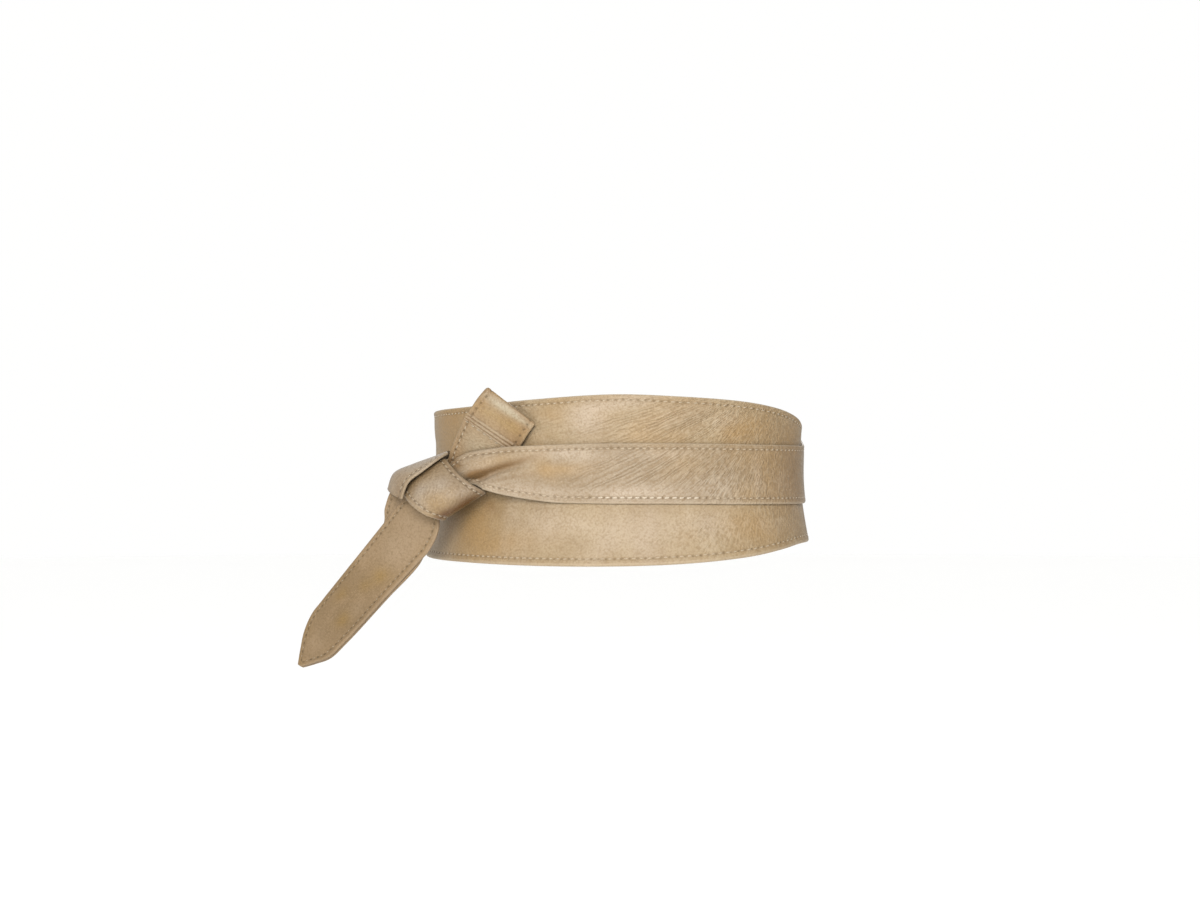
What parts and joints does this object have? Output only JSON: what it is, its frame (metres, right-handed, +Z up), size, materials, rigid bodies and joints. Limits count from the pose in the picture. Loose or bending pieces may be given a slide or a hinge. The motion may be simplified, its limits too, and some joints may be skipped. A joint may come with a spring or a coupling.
{
  "type": "leather obi belt",
  "caption": "Wide leather waist belt with long straps that cross at the back and tie in a half bow with two pointed tails at the wearer's right front.",
  "frame": {"origin": "on the upright axis of the wearer's waist, at the middle height of the panel's front, where the waist holds the belt", "axes": "+Z up along the wearer's body, -Y to the wearer's front, +X to the wearer's left; the knot is at the wearer's right front"},
  "size_m": [0.2884, 0.264, 0.1833],
  "materials": {
    "body_leather": "satin smooth grain, sand brown with soft clouding",
    "knot_leather": "satin smooth grain, sand brown with greyer lights",
    "tail_leather": "satin smooth grain, greyer taupe brown"
  },
  "bodies": {
    "root": {"waist_panel": "body_leather", "strap_over_front": "body_leather", "strap_round_right": "body_leather", "knot_band": "knot_leather", "knot_turn": "knot_leather", "bow_loop": "knot_leather", "bow_lap": "knot_leather", "tail_front": "tail_leather", "tail_rear": "tail_leather"}
  },
  "joints": []
}
